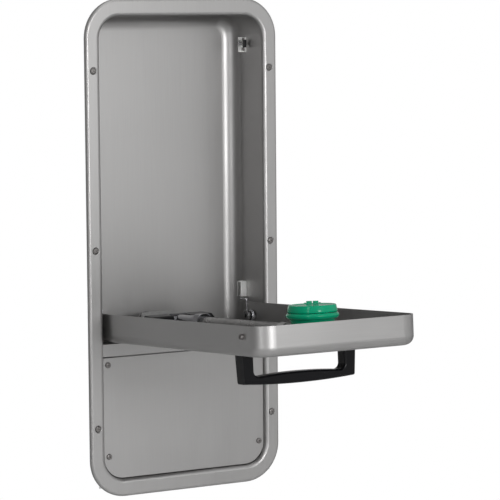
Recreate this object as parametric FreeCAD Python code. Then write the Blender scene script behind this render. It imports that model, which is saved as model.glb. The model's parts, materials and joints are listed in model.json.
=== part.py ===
"""Recessed wall eyewash station with a swing-down drain pan, in millimetres.

Frame: origin at the centre of the wall-screw pattern on the wall plane, +X to the right,
+Y into the wall, +Z up. The pan is modelled level about its hinge axis and then placed,
tilted front-up by PAN_TILT, which is its open position.
"""

import FreeCAD, Part
import math
import os
from FreeCAD import Vector as V

# --- Cabinet: flange, opening and recess -------------------------------------------------
FLANGE_W = 350.0
FLANGE_H = 794.0
FLANGE_R = 62.0
SIDE_FLANGE = 25.5
END_FLANGE = 28.0
FLANGE_STAND = 6.0
OPENING_R = 36.0
RECESS_DEPTH = 95.0
BACK_R = 23.0
EDGE_R = 4.5
MOUTH_R = 6.0
SHEET = 1.2
WALL_SCREW_INSET = 13.5
WALL_SCREW_PITCH = 284.0

# --- Drain pan and its hinge -------------------------------------------------------------
PAN_SIDE_GAP = 6.5
PAN_TOP_GAP = 6.0
PAN_DEPTH = 46.0
PAN_BOTTOM_DROP = 24.4
PAN_CORNER_R = 32.0
PAN_EDGE_R = 14.0
PAN_TILT = 3.3
PIVOT_HEIGHT = 272.6
PIVOT_BEHIND_FACE = 25.0
STUD_INSET = 40.4
STUD_ABOVE_PIVOT = 6.0
REST_GAP = 0.3

# --- Fits ---------------------------------------------------------------------------------
RUN = 0.05
LOOSE = 0.3

# --- Sill, access panel -------------------------------------------------------------------
PANEL_RECESS = 7.0
PANEL_TOP = 224.5
PANEL_GAP = 1.5
SILL_GAP = 1.6
SILL_CLEAR = 1.2
SILL_SHELF = 9.0
PANEL_SCREW_INSET = 10.0
PANEL_SCREW_LOW = 65.5
PANEL_SCREW_HIGH = 213.0

# --- Handle -------------------------------------------------------------------------------
HANDLE_SPAN = 200.0
HANDLE_HEIGHT = 52.5
HANDLE_DEPTH = 22.0
HANDLE_LEG = 20.0
HANDLE_BAR = 9.5
HANDLE_BOW = 4.0
HANDLE_DRAFT = 3.0
HANDLE_INSET = 117.4

# --- Pipe arm, rotary valve and spray head ------------------------------------------------
PIPE_R = 10.65
PIPE_BORE_R = 8.3
SPINDLE_R = 8.0
SPINDLE_BORE_R = 5.0
HEAD_INSET = 77.4
SADDLE_BEHIND_HEAD = 80.0
HEAD_R = 40.0
LID_R = 37.0
HEAD_TURN = 33.0
NUT_START = 70.0
NUT_LENGTH = 16.0
BLOCK_END = 62.0
BLOCK_INNER = 16.0
BLOCK_HALF_DEPTH = 14.0
BLOCK_TOP = 11.0
BLOCK_BOTTOM = 13.0
BLOCK_SLOPE = 8.0
BLOCK_END_FACE = 1.0

# --- Supply and waste ---------------------------------------------------------------------
SUPPLY_X = -36.0
SUPPLY_Y = 62.0
WASTE_X = 55.0
WASTE_Y = 27.5
TAILPIECE_R = 19.05
TROUGH_CLEAR = 2.8

# --- Derived ------------------------------------------------------------------------------
FACE_Y = -FLANGE_STAND
BACK_Y = FACE_Y + RECESS_DEPTH
OPEN_HALF = FLANGE_W / 2 - SIDE_FLANGE
OPEN_H = FLANGE_H - 2 * END_FLANGE
BOTTOM_Z = -FLANGE_H / 2
PIVOT_Y = FACE_Y + PIVOT_BEHIND_FACE
PIVOT_Z = BOTTOM_Z + PIVOT_HEIGHT
PAN_HALF = OPEN_HALF - PAN_SIDE_GAP
PAN_REACH = FLANGE_H - END_FLANGE - PIVOT_HEIGHT - PAN_TOP_GAP
PAN_RIM = PAN_DEPTH - PAN_BOTTOM_DROP
STUD_FROM_PIVOT = PAN_REACH - STUD_INSET
HANDLE_FRONT = PAN_REACH - HANDLE_INSET
HEAD_FROM_PIVOT = PAN_REACH - HEAD_INSET
PANEL_Y = FACE_Y + PANEL_RECESS
SILL_BOTTOM = PANEL_TOP + SILL_GAP
SILL_TOP = PIVOT_HEIGHT - PAN_BOTTOM_DROP - SILL_CLEAR
TROUGH_TOP = PIVOT_HEIGHT - PAN_BOTTOM_DROP - TROUGH_CLEAR

os.makedirs("parts", exist_ok=True)


# --- Shape helpers ------------------------------------------------------------------------
def up(height):
    """A height above the flange's bottom edge, as Z in the part's frame."""
    return BOTTOM_Z + height


def box(x0, x1, y0, y1, z0, z1):
    return Part.makeBox(x1 - x0, y1 - y0, z1 - z0, V(x0, y0, z0))


def rod(radius, start, direction, length):
    return Part.makeCylinder(radius, length, V(*start), V(*direction))


def ring(outer, inner, start, direction, length):
    return rod(outer, start, direction, length).cut(rod(inner, start, direction, length))


def ball(radius, centre):
    return Part.makeSphere(radius, V(*centre))


def cone(r0, r1, start, direction, length):
    return Part.makeCone(r0, r1, length, V(*start), V(*direction))


def hexagon(across_flats, start, direction, length):
    """A hexagonal prism whose axis runs from start along direction."""
    radius = across_flats / math.sqrt(3)
    corners = [V(radius * math.cos(math.radians(60 * i)), radius * math.sin(math.radians(60 * i)), 0)
               for i in range(7)]
    prism = Part.Face(Part.makePolygon(corners)).extrude(V(0, 0, length))
    prism.Placement = FreeCAD.Placement(V(*start), FreeCAD.Rotation(V(0, 0, 1), V(*direction)))
    return prism


def fused(first, *others):
    shape = first
    for other in others:
        shape = shape.fuse(other)
    return shape.removeSplitter()


def cut(shape, *tools):
    for tool in tools:
        shape = shape.cut(tool)
    return shape


def rounded(shape, radius, wanted):
    """Fillet the edges whose bounding box satisfies wanted."""
    return shape.makeFillet(radius, [e for e in shape.Edges if wanted(e.BoundBox)])


def slab(width, height, radius, y0, y1):
    """A rounded-rectangle slab centred on the origin in X and Z, from y0 to y1."""
    block = box(-width / 2, width / 2, y0, y1, -height / 2, height / 2)
    return rounded(block, radius, lambda b: b.YLength > abs(y1 - y0) * 0.9)


def on_plane_y(y):
    return lambda b: abs(b.YMin - y) < 1e-4 and abs(b.YMax - y) < 1e-4


def mirrored(shape):
    return shape.mirror(V(0, 0, 0), V(1, 0, 0))


def in_pan(shape):
    """Take a shape from the pan's level frame, hinge axis at its origin, to the open pan."""
    placed = shape.copy()
    placed.rotate(V(0, 0, 0), V(1, 0, 0), -PAN_TILT)
    placed.translate(V(0, PIVOT_Y, PIVOT_Z))
    return placed


def at_pivot(shape):
    """Take a fixed shape drawn about the hinge axis to its place in the cabinet."""
    placed = shape.copy()
    placed.translate(V(0, PIVOT_Y, PIVOT_Z))
    return placed


def button_screw(head_r, head_h, shank_r, length):
    """A button-head screw on +Z: head above z = 0, shank below, with a hex socket."""
    head = rod(head_r, (0, 0, 0), (0, 0, 1), head_h)
    head = rounded(head, head_h * 0.7, lambda b: abs(b.ZMin - head_h) < 1e-4 and abs(b.ZMax - head_h) < 1e-4)
    socket = hexagon(shank_r * 1.1, (0, 0, head_h * 0.35), (0, 0, 1), head_h)
    return fused(head, rod(shank_r, (0, 0, -length), (0, 0, 1), length)).cut(socket)


def aimed(shape, place, direction):
    """Turn a shape drawn on +Z to point along direction, at place."""
    turned = shape.copy()
    turned.Placement = FreeCAD.Placement(V(*place), FreeCAD.Rotation(V(0, 0, 1), V(*direction)))
    return turned


def save(name, *shapes):
    solids = [solid for shape in shapes for solid in shape.Solids]
    result = solids[0] if len(solids) == 1 else Part.makeCompound(solids)
    result.exportStep("parts/" + name + ".step")
    print(name, len(solids), round(sum(s.Volume for s in solids)), all(s.isValid() for s in solids))


# --- Cabinet ------------------------------------------------------------------------------
DIMPLE_R = 6.5
DIMPLE_FLOOR_R = 3.2
DIMPLE_DEPTH = 2.2
WALL_SCREW_R = 2.4
WALL_SCREW_HOLE_R = 2.7
WALL_SCREW_NECK_R = 2.65
WALL_SCREW_NECK = 1.5
WALL_SCREW_LENGTH = 32.0
WALL_SCREW_X = FLANGE_W / 2 - WALL_SCREW_INSET
WALL_SCREWS = [(side * WALL_SCREW_X, row * WALL_SCREW_PITCH) for side in (-1, 1) for row in (-1, 0, 1)]


def flange_and_tub():
    plate = slab(FLANGE_W, FLANGE_H, FLANGE_R, FACE_Y, 0)
    plate = rounded(plate, EDGE_R, on_plane_y(FACE_Y))
    tub_w = 2 * OPEN_HALF + 2 * SHEET
    tub_h = OPEN_H + 2 * SHEET
    tub = slab(tub_w, tub_h, OPENING_R + SHEET, FACE_Y, BACK_Y + SHEET)
    tub = rounded(tub, BACK_R + SHEET, on_plane_y(BACK_Y + SHEET))
    behind = slab(FLANGE_W - 2 * SHEET, FLANGE_H - 2 * SHEET, FLANGE_R - SHEET, FACE_Y + SHEET, MOUTH_R)
    behind = rounded(behind, EDGE_R - SHEET, on_plane_y(FACE_Y + SHEET))
    behind = behind.cut(slab(tub_w, tub_h, OPENING_R + SHEET, FACE_Y, MOUTH_R))
    inside_edge = on_plane_y(FACE_Y + SHEET)
    behind = rounded(behind, MOUTH_R - SHEET,
                     lambda b: inside_edge(b) and max(abs(b.XMin), abs(b.XMax)) < OPEN_HALF + 2 * SHEET)
    hollow = slab(2 * OPEN_HALF, OPEN_H, OPENING_R, FACE_Y - 1, BACK_Y)
    hollow = rounded(hollow, BACK_R, on_plane_y(BACK_Y))
    shell = cut(plate.fuse(tub), behind, hollow)
    mouth = on_plane_y(FACE_Y)
    return rounded(shell, MOUTH_R, lambda b: mouth(b) and max(abs(b.XMin), abs(b.XMax)) < OPEN_HALF + 1)


def dimpled(shell):
    for x, z in WALL_SCREWS:
        back = cone(DIMPLE_R + SHEET, DIMPLE_FLOOR_R + SHEET, (x, FACE_Y + SHEET / 2, z), (0, 1, 0),
                    DIMPLE_DEPTH + SHEET / 2)
        shell = shell.fuse(back)
    for x, z in WALL_SCREWS:
        bowl = cone(DIMPLE_R, DIMPLE_FLOOR_R, (x, FACE_Y, z), (0, 1, 0), DIMPLE_DEPTH)
        hole = rod(WALL_SCREW_HOLE_R, (x, FACE_Y, z), (0, 1, 0), FLANGE_STAND)
        shell = cut(shell, bowl, hole)
    return shell


def wall_screw(x, z):
    seat = FACE_Y + DIMPLE_DEPTH
    head = cone(WALL_SCREW_R * 2, WALL_SCREW_NECK_R, (x, seat - 1.8, z), (0, 1, 0), 1.8)
    crown = cone(WALL_SCREW_R * 1.1, WALL_SCREW_R * 2, (x, seat - 2.9, z), (0, 1, 0), 1.1)
    neck = cone(WALL_SCREW_NECK_R, WALL_SCREW_R, (x, seat, z), (0, 1, 0), WALL_SCREW_NECK)
    shank = rod(WALL_SCREW_R, (x, seat + WALL_SCREW_NECK, z), (0, 1, 0), WALL_SCREW_LENGTH)
    recess = hexagon(WALL_SCREW_R, (x, seat - 3, z), (0, 1, 0), 1.6)
    return fused(head, crown, neck, shank).cut(recess)


# --- Hinges -------------------------------------------------------------------------------
BOLT_HEAD_R = 8.5
BOLT_HEAD_T = 4.0
SHOULDER_R = 4.0
BOLT_THREAD_R = 3.0
BUSH_R = 6.0
BUSH_HUB_R = 6.4
BUSH_FLANGE_R = 8.5
BUSH_FLANGE_T = 1.6
BUSH_LENGTH = 10.4
BUSH_COLLAR_T = 1.2
NUT_T = 5.0
PAN_INNER = PAN_HALF - SHEET
BUSH_FRONT = PAN_INNER - BUSH_LENGTH
BOLT_FRONT = BUSH_FRONT - LOOSE - BOLT_HEAD_T
SPACER_FRONT = PAN_HALF + BUSH_COLLAR_T + LOOSE


def hinge_bolt():
    head = rod(BOLT_HEAD_R, (BOLT_FRONT, 0, 0), (1, 0, 0), BOLT_HEAD_T)
    head = rounded(head, 0.8, lambda b: abs(b.XMax - BOLT_FRONT) < 1e-4)
    shoulder = rod(SHOULDER_R, (BOLT_FRONT + 1, 0, 0), (1, 0, 0), OPEN_HALF - BOLT_FRONT - 1)
    thread = rod(BOLT_THREAD_R, (OPEN_HALF - 1, 0, 0), (1, 0, 0), SHEET + NUT_T + 3)
    socket = hexagon(6.0, (BOLT_FRONT, 0, 0), (1, 0, 0), 2.6)
    return at_pivot(fused(head, shoulder, thread).cut(socket))


def hinge_spacer():
    return at_pivot(ring(BUSH_FLANGE_R, SHOULDER_R, (SPACER_FRONT, 0, 0), (1, 0, 0), OPEN_HALF - SPACER_FRONT))


def hinge_nut():
    start = (OPEN_HALF + SHEET, 0, 0)
    nut = hexagon(10.0, start, (1, 0, 0), NUT_T)
    return at_pivot(nut.cut(rod(BOLT_THREAD_R, start, (1, 0, 0), NUT_T)))


def pivot_bush():
    hub = rod(BUSH_HUB_R, (BUSH_FRONT, 0, 0), (1, 0, 0), BUSH_LENGTH)
    flange = rod(BUSH_FLANGE_R, (BUSH_FRONT, 0, 0), (1, 0, 0), BUSH_FLANGE_T)
    neck = rod(BUSH_R, (PAN_INNER - 1, 0, 0), (1, 0, 0), SHEET + 2)
    collar = rod(BUSH_FLANGE_R, (PAN_HALF, 0, 0), (1, 0, 0), BUSH_COLLAR_T)
    bore = rod(SHOULDER_R + RUN, (BUSH_FRONT - 1, 0, 0), (1, 0, 0), BUSH_LENGTH + 6)
    return in_pan(fused(hub, flange, neck, collar).cut(bore))


# --- Counterbalance springs and their anchors ---------------------------------------------
WIRE_R = 1.1
COIL_R = 8.0
COIL_TURNS = 2.5
COIL_PITCH = 2.4
LEG_TOP = 26.0
ANCHOR_Y = 53.5
ANCHOR_DEPTH = 12.0
ANCHOR_REACH = 11.0
ANCHOR_LOW = 28.0
ANCHOR_HIGH = 53.0
CLIP_T = 1.2
WIRE_END = (OPEN_HALF - 7.5, ANCHOR_Y + ANCHOR_DEPTH / 2 - PIVOT_Y)
SMALL_SCREW_R = 2.0
SMALL_HEAD_R = 3.0
SMALL_HEAD_H = 1.6
ANCHOR_SCREW_HEIGHTS = (ANCHOR_LOW + 6.5, ANCHOR_HIGH - 6.5)


def spring():
    """Coil round the bush from the pan wall inwards, then a leg up and back to its anchor."""
    coil_end = BUSH_FRONT + BUSH_FLANGE_T + WIRE_R + LOOSE
    helix = Part.makeHelix(COIL_PITCH, COIL_PITCH * COIL_TURNS, COIL_R)
    section = Part.Wire(Part.makeCircle(WIRE_R, V(COIL_R, 0, 0), V(0, 1, COIL_PITCH / (2 * math.pi * COIL_R))))
    coil = Part.Wire(helix).makePipeShell([section], True, True)
    coil.Placement = FreeCAD.Placement(V(coil_end, 0, 0), FreeCAD.Rotation(V(0, 0, 1), V(1, 0, 0)))
    coil.rotate(V(0, 0, 0), V(1, 0, 0), 90)
    coil = coil.mirror(V(0, 0, 0), V(0, 0, 1))
    foot = (coil_end, COIL_R, 0)
    knee = (coil_end, COIL_R, LEG_TOP)
    hook = (WIRE_END[0], WIRE_END[1], LEG_TOP - 3)
    leg = rod(WIRE_R, foot, (0, 0, 1), LEG_TOP)
    run = V(*hook).sub(V(*knee))
    jog = Part.makeCylinder(WIRE_R, run.Length, V(*knee), run)
    end = rod(WIRE_R, hook, (0, 0, 1), ANCHOR_HIGH - LEG_TOP - 4)
    return at_pivot(fused(coil, ball(WIRE_R, foot), leg, ball(WIRE_R, knee), jog, ball(WIRE_R * 1.6, hook), end))


def spring_anchor():
    y0 = ANCHOR_Y
    y1 = ANCHOR_Y + ANCHOR_DEPTH
    z0 = PIVOT_Z + ANCHOR_LOW
    z1 = PIVOT_Z + ANCHOR_HIGH
    base = box(OPEN_HALF - CLIP_T, OPEN_HALF, y0, y1, z0, z1)
    front = box(OPEN_HALF - ANCHOR_REACH, OPEN_HALF, y0, y0 + CLIP_T, z0, z1)
    rear = box(OPEN_HALF - ANCHOR_REACH, OPEN_HALF, y1 - CLIP_T, y1, z0, z1)
    clip = fused(base, front, rear)
    return cut(clip, *[anchor_hole(h) for h in ANCHOR_SCREW_HEIGHTS])


def anchor_hole(height):
    return rod(SMALL_SCREW_R, (OPEN_HALF - 5, ANCHOR_Y + ANCHOR_DEPTH / 2, PIVOT_Z + height), (1, 0, 0), 12)


def anchor_screw(height):
    screw = button_screw(SMALL_HEAD_R, SMALL_HEAD_H, SMALL_SCREW_R, 6)
    place = (OPEN_HALF - CLIP_T, ANCHOR_Y + ANCHOR_DEPTH / 2, PIVOT_Z + height)
    return aimed(screw, place, (-1, 0, 0))


# --- Magnetic catches that hold the pan shut ----------------------------------------------
CATCH_BELOW = 14.0
CATCH_ABOVE = 10.0
CATCH_ROOM = 7.0
CATCH_LENGTH = 12.1
CATCH_REACH = 7.5
CATCH_LUG_HALF = 4.0
MAGNET_T = 3.4
MAGNET_H = 12.5
MAGNET_IN = 1.8
MAGNET_OUT = 3.4
MAGNET_GAP = 0.3
STEM_R = 1.3
STUD_R = 4.0
CATCH_Z = PIVOT_Z + STUD_FROM_PIVOT
MAGNET_FRONT_Y = PIVOT_Y + PAN_RIM + MAGNET_GAP
CATCH_FRONT_Y = MAGNET_FRONT_Y + CATCH_ROOM
CATCH_REAR_Y = CATCH_FRONT_Y + CATCH_LENGTH
STEM_X = PAN_HALF + 0.8
CATCH_SCREW_Y = (CATCH_FRONT_Y + CATCH_REAR_Y + CLIP_T) / 2
CATCH_SCREW_ZS = (CATCH_Z - 9.0, CATCH_Z + 6.5)
COLLAR_R = 2.4
COLLAR_T = 1.5
COLLAR_Y = CATCH_FRONT_Y + CLIP_T + LOOSE
CATCH_WIRE_R = 0.4
CATCH_COIL_R = 2.1
CATCH_COIL_PITCH = 1.6


def catch_bracket():
    z0 = CATCH_Z - CATCH_BELOW
    z1 = CATCH_Z + CATCH_ABOVE
    base = box(OPEN_HALF - CLIP_T, OPEN_HALF, CATCH_FRONT_Y, CATCH_REAR_Y + CLIP_T, z0, z1)
    front = box(OPEN_HALF - CATCH_REACH, OPEN_HALF, CATCH_FRONT_Y, CATCH_FRONT_Y + CLIP_T,
                CATCH_Z - CATCH_LUG_HALF, CATCH_Z + CATCH_LUG_HALF)
    rear = box(OPEN_HALF - CATCH_REACH, OPEN_HALF, CATCH_REAR_Y, CATCH_REAR_Y + CLIP_T, z0, z1)
    stem = rod(STEM_R + RUN, (STEM_X, CATCH_FRONT_Y - 1, CATCH_Z), (0, 1, 0), 30)
    holes = [rod(SMALL_SCREW_R, (OPEN_HALF - 5, CATCH_SCREW_Y, z), (1, 0, 0), 12) for z in CATCH_SCREW_ZS]
    return cut(fused(base, front, rear), stem, *holes)


def catch_screw(z):
    screw = button_screw(SMALL_HEAD_R, SMALL_HEAD_H, SMALL_SCREW_R, 6)
    return aimed(screw, (OPEN_HALF - CLIP_T, CATCH_SCREW_Y, z), (-1, 0, 0))


def catch_spring():
    """Coil on the catch's stem, between its collar and the bracket's rear flange."""
    start = COLLAR_Y + COLLAR_T + CATCH_WIRE_R + RUN
    length = CATCH_REAR_Y - CATCH_WIRE_R - RUN - start
    helix = Part.makeHelix(CATCH_COIL_PITCH, length, CATCH_COIL_R)
    section = Part.Wire(Part.makeCircle(CATCH_WIRE_R, V(CATCH_COIL_R, 0, 0), V(0, 1, 0)))
    coil = Part.Wire(helix).makePipeShell([section], True, True)
    return aimed(coil, (STEM_X, start, CATCH_Z), (0, 1, 0))


def catch_magnet():
    """A cased magnet on the stem's front end; the closed pan's rim stops just short of it."""
    half = MAGNET_H / 2
    case = box(PAN_HALF - MAGNET_IN, PAN_HALF + MAGNET_OUT, MAGNET_FRONT_Y, MAGNET_FRONT_Y + MAGNET_T,
               CATCH_Z - half, CATCH_Z + half)
    return rounded(case, 0.8, lambda b: abs(b.YMin - MAGNET_FRONT_Y) < 1e-4 and abs(b.YMax - MAGNET_FRONT_Y) < 1e-4)


def catch_stem():
    start = MAGNET_FRONT_Y + MAGNET_T
    x = STEM_X
    stem = rod(STEM_R, (x, start, CATCH_Z), (0, 1, 0), CATCH_REAR_Y + CLIP_T + 5 - start)
    collar = rod(COLLAR_R, (x, COLLAR_Y, CATCH_Z), (0, 1, 0), COLLAR_T)
    nut = rod(COLLAR_R, (x, CATCH_REAR_Y + CLIP_T + LOOSE, CATCH_Z), (0, 1, 0), 2.5)
    return fused(stem, collar, nut)


def guide_stud():
    """A slotted stud and its nut: it centres the pan between the opening's sides as it closes."""
    shoulder = rod(STUD_R, (PAN_HALF, 0, 0), (1, 0, 0), OPEN_HALF - PAN_HALF - 1.1)
    shoulder = rounded(shoulder, 0.6, lambda b: abs(b.XMin - (OPEN_HALF - 1.1)) < 1e-4)
    slot = box(OPEN_HALF - 2.1, OPEN_HALF, -0.7, 0.7, -STUD_R, STUD_R)
    slot.rotate(V(0, 0, 0), V(1, 0, 0), 35)
    shank = rod(SMALL_SCREW_R, (PAN_INNER - 5, 0, 0), (1, 0, 0), SHEET + 6)
    stud = fused(shoulder, shank).cut(slot)
    nut = hexagon(7.0, (PAN_INNER - 3, 0, 0), (1, 0, 0), 3).cut(
        rod(SMALL_SCREW_R, (PAN_INNER - 4, 0, 0), (1, 0, 0), 5))
    pair = Part.makeCompound([stud, nut])
    pair.translate(V(0, -STUD_FROM_PIVOT, STUD_ABOVE_PIVOT))
    return in_pan(pair)


# --- Drain pan ----------------------------------------------------------------------------
PAN_LIP_ANGLE = 55.0
SLOT_COUNT = 5
SLOT_PITCH = 48.0
SLOT_LENGTH = 36.0
SLOT_R = 2.6
SLOT_Y = -5.0
HANDLE_Y = -(HANDLE_FRONT - HANDLE_DEPTH / 2)
HANDLE_SCREW_X = HANDLE_SPAN / 2 - HANDLE_LEG / 2
HANDLE_SCREW_R = 2.4


def pan_block(inset, top):
    """The pan's solid outline, set in by inset: round front corners, rolled rear edge."""
    half = PAN_HALF - inset
    front = -(PAN_REACH - inset)
    drop = PAN_BOTTOM_DROP - inset
    block = box(-half, half, front, drop, -drop, top)
    block = rounded(block, PAN_CORNER_R - inset,
                    lambda b: b.ZLength > drop and abs(b.YMin - front) < 1e-4 and abs(b.YMax - front) < 1e-4)
    block = rounded(block, drop * 0.999,
                    lambda b: b.XLength > half and abs(b.YMin - drop) < 1e-4 and abs(b.ZMax + drop) < 1e-4)
    return rounded(block, PAN_EDGE_R - inset,
                   lambda b: abs(b.ZMax + drop) < 1e-4 and b.XLength < 1e-4 and b.YLength > PAN_REACH / 2)


def pan():
    shell = pan_block(0, PAN_RIM).cut(pan_block(SHEET, PAN_RIM + 10))
    lip = -PAN_BOTTOM_DROP * math.cos(math.radians(PAN_LIP_ANGLE))
    window = box(-PAN_INNER, PAN_INNER, 0, PAN_BOTTOM_DROP + 5, lip, PAN_RIM + 5)
    bushes = rod(BUSH_R, (-PAN_HALF - 5, 0, 0), (1, 0, 0), 2 * PAN_HALF + 10)
    studs = rod(SMALL_SCREW_R, (-PAN_HALF - 5, -STUD_FROM_PIVOT, STUD_ABOVE_PIVOT), (1, 0, 0), 2 * PAN_HALF + 10)
    shell = cut(shell, window, bushes, studs)
    for i in range(SLOT_COUNT):
        shell = shell.cut(drain_slot((i - (SLOT_COUNT - 1) / 2) * SLOT_PITCH))
    floor = (0, 0, 1)
    for side in (-1, 1):
        shell = shell.cut(rod(HANDLE_SCREW_R, (side * HANDLE_SCREW_X, HANDLE_Y, -PAN_BOTTOM_DROP - 5), floor, 10))
        shell = shell.cut(rod(SADDLE_SCREW_R, (side * SADDLE_SCREW_X, SADDLE_Y, -PAN_BOTTOM_DROP - 5), floor, 10))
    return in_pan(shell)


def drain_slot(x):
    straight = SLOT_LENGTH / 2 - SLOT_R
    low = -PAN_BOTTOM_DROP - 2
    web = box(x - straight, x + straight, SLOT_Y - SLOT_R, SLOT_Y + SLOT_R, low, low + 5)
    ends = [rod(SLOT_R, (x + side * straight, SLOT_Y, low), (0, 0, 1), 5) for side in (-1, 1)]
    return fused(web, *ends)


# --- Pull handle --------------------------------------------------------------------------
def pull_handle():
    """A bridge handle: drafted legs, a bowed bar and large inner fillets."""
    half = HANDLE_SPAN / 2
    top = -PAN_BOTTOM_DROP
    low = top - HANDLE_HEIGHT
    bow = HANDLE_BOW
    outer = [V(-half, 0, top), V(-half + HANDLE_DRAFT, 0, low + bow)]
    belly = Part.Arc(outer[1], V(0, 0, low), V(half - HANDLE_DRAFT, 0, low + bow)).toShape()
    edges = [Part.makeLine(outer[0], outer[1]), belly,
             Part.makeLine(V(half - HANDLE_DRAFT, 0, low + bow), V(half, 0, top)),
             Part.makeLine(V(half, 0, top), outer[0])]
    blank = Part.Face(Part.Wire(edges)).extrude(V(0, HANDLE_DEPTH, 0))
    gap = half - HANDLE_LEG
    floor = low + bow + HANDLE_BAR
    crest = Part.Arc(V(-gap, 0, floor), V(0, 0, floor + bow), V(gap, 0, floor)).toShape()
    sides = [Part.makeLine(V(gap, 0, floor), V(gap, 0, top + 5)),
             Part.makeLine(V(gap, 0, top + 5), V(-gap, 0, top + 5)),
             Part.makeLine(V(-gap, 0, top + 5), V(-gap, 0, floor))]
    window = Part.Face(Part.Wire([crest] + sides)).extrude(V(0, HANDLE_DEPTH, 0))
    window = rounded(window, 9.0, lambda b: b.YLength > 1 and abs(b.ZMax - floor) < 1e-3 and b.ZLength < 1e-3)
    handle = blank.cut(window)
    handle = rounded(handle, 3.5, lambda b: b.YLength < 1e-3 and b.ZMax < top - 1e-3)
    for side in (-1, 1):
        handle = handle.cut(rod(HANDLE_SCREW_R, (side * HANDLE_SCREW_X, HANDLE_DEPTH / 2, top - 18), (0, 0, 1), 20))
    handle.translate(V(0, -HANDLE_FRONT, 0))
    return in_pan(handle)


def handle_screw(side):
    screw = button_screw(4.5, 2.2, HANDLE_SCREW_R, 16)
    return in_pan(aimed(screw, (side * HANDLE_SCREW_X, HANDLE_Y, -PAN_BOTTOM_DROP + SHEET), (0, 0, 1)))


# --- Rotary valve on the hinge axis -------------------------------------------------------
PLATE_T = 2.5
PLATE_HALF = 60.0
PLATE_LOW = -13.0
PLATE_TOP = 9.0
TAB_TOP = 16.0
TAB_INNER = -5.0
CHEEK_T = 2.0
CHEEK_LOW = -11.0
CHEEK_HIGH = -2.0
FOOT_LOW = -34.0
INLET_R = 10.0
INLET_END = 33.0
BLOCK_SCREW_R = 2.0
BLOCK_SCREW_Z = -8.0
BLOCK_SCREW_BITE = 6.0
BLOCK_SCREW_XS = (-54.0, -20.0, 20.0, 54.0)
PLATE_SCREWS = [(-42.0, -24.0), (42.0, -24.0)]
VALVE_BACK = BACK_Y - PIVOT_Y


def valve_bracket():
    """Plate behind the two blocks, with a raised tab, held off the wall by two cheeks and a foot."""
    front = BLOCK_HALF_DEPTH
    plate = box(-PLATE_HALF, PLATE_HALF, front, front + PLATE_T, PLATE_LOW, PLATE_TOP)
    tab = box(-PLATE_HALF, TAB_INNER, front, front + PLATE_T, 0, TAB_TOP)
    foot = box(-PLATE_HALF, PLATE_HALF, VALVE_BACK - PLATE_T, VALVE_BACK, FOOT_LOW, CHEEK_HIGH)
    cheeks = [box(x, x + CHEEK_T, front, VALVE_BACK, CHEEK_LOW, CHEEK_HIGH)
              for x in (-PLATE_HALF, PLATE_HALF - CHEEK_T)]
    bracket = fused(plate, tab, foot, *cheeks)
    bracket = bracket.cut(rod(INLET_R + LOOSE, (SUPPLY_X, front - 1, 0), (0, 1, 0), PLATE_T + 2))
    for x in BLOCK_SCREW_XS:
        bracket = bracket.cut(rod(BLOCK_SCREW_R, (x, front - 1, BLOCK_SCREW_Z), (0, 1, 0), PLATE_T + 2))
    for x, z in PLATE_SCREWS:
        bracket = bracket.cut(rod(BLOCK_SCREW_R, (x, VALVE_BACK - 5, z), (0, 1, 0), 8))
    return at_pivot(bracket)


def block(outer_x, inner_x):
    """A bearing block on the hinge axis, its outer end sloped, between two X stations."""
    slope = math.copysign(BLOCK_SLOPE, outer_x)
    corners = [V(inner_x, 0, -BLOCK_BOTTOM), V(outer_x, 0, -BLOCK_BOTTOM), V(outer_x, 0, BLOCK_END_FACE),
               V(outer_x - slope, 0, BLOCK_TOP), V(inner_x, 0, BLOCK_TOP), V(inner_x, 0, -BLOCK_BOTTOM)]
    solid = Part.Face(Part.makePolygon(corners)).extrude(V(0, 2 * BLOCK_HALF_DEPTH, 0))
    solid.translate(V(0, -BLOCK_HALF_DEPTH, 0))
    return rounded(solid, 2.0, lambda b: b.XLength > 20 and b.ZLength < 1e-3 and b.YMax < 0 and b.YLength < 1e-3)


def block_screw_holes(x_sign):
    start = BLOCK_HALF_DEPTH - BLOCK_SCREW_BITE
    return [rod(BLOCK_SCREW_R, (x, start, BLOCK_SCREW_Z), (0, 1, 0), BLOCK_SCREW_BITE + 1)
            for x in BLOCK_SCREW_XS if x * x_sign > 0]


SEAL_XS = (-22.0, -45.0)
SEAL_R = 0.85
SPINDLE_LEFT = -56.0
SPINDLE_RIGHT = 54.0


def valve_body():
    solid = block(-BLOCK_END, -BLOCK_INNER)
    boss = rod(INLET_R, (SUPPLY_X, 0, 0), (0, 1, 0), INLET_END)
    solid = fused(solid, boss)
    bore = rod(SPINDLE_R + RUN, (SPINDLE_LEFT - 1, 0, 0), (1, 0, 0), -BLOCK_INNER - SPINDLE_LEFT + 2)
    inlet = rod(5.0, (SUPPLY_X, 0, 0), (0, 1, 0), INLET_END + 1)
    grooves = [rod(SPINDLE_R + 2 * RUN + 2 * SEAL_R, (x - 1, 0, 0), (1, 0, 0), 2) for x in SEAL_XS]
    return at_pivot(cut(solid, bore, inlet, *grooves, *block_screw_holes(-1)))


def bearing_block():
    solid = block(BLOCK_END, BLOCK_INNER)
    bore = rod(SPINDLE_R + RUN, (BLOCK_INNER - 1, 0, 0), (1, 0, 0), SPINDLE_RIGHT - BLOCK_INNER + 2)
    return at_pivot(cut(solid, bore, *block_screw_holes(1)))


def rotor_seal(x):
    seal = Part.makeTorus(SPINDLE_R + RUN + SEAL_R, SEAL_R, V(x, 0, 0), V(1, 0, 0))
    return at_pivot(seal)


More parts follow.
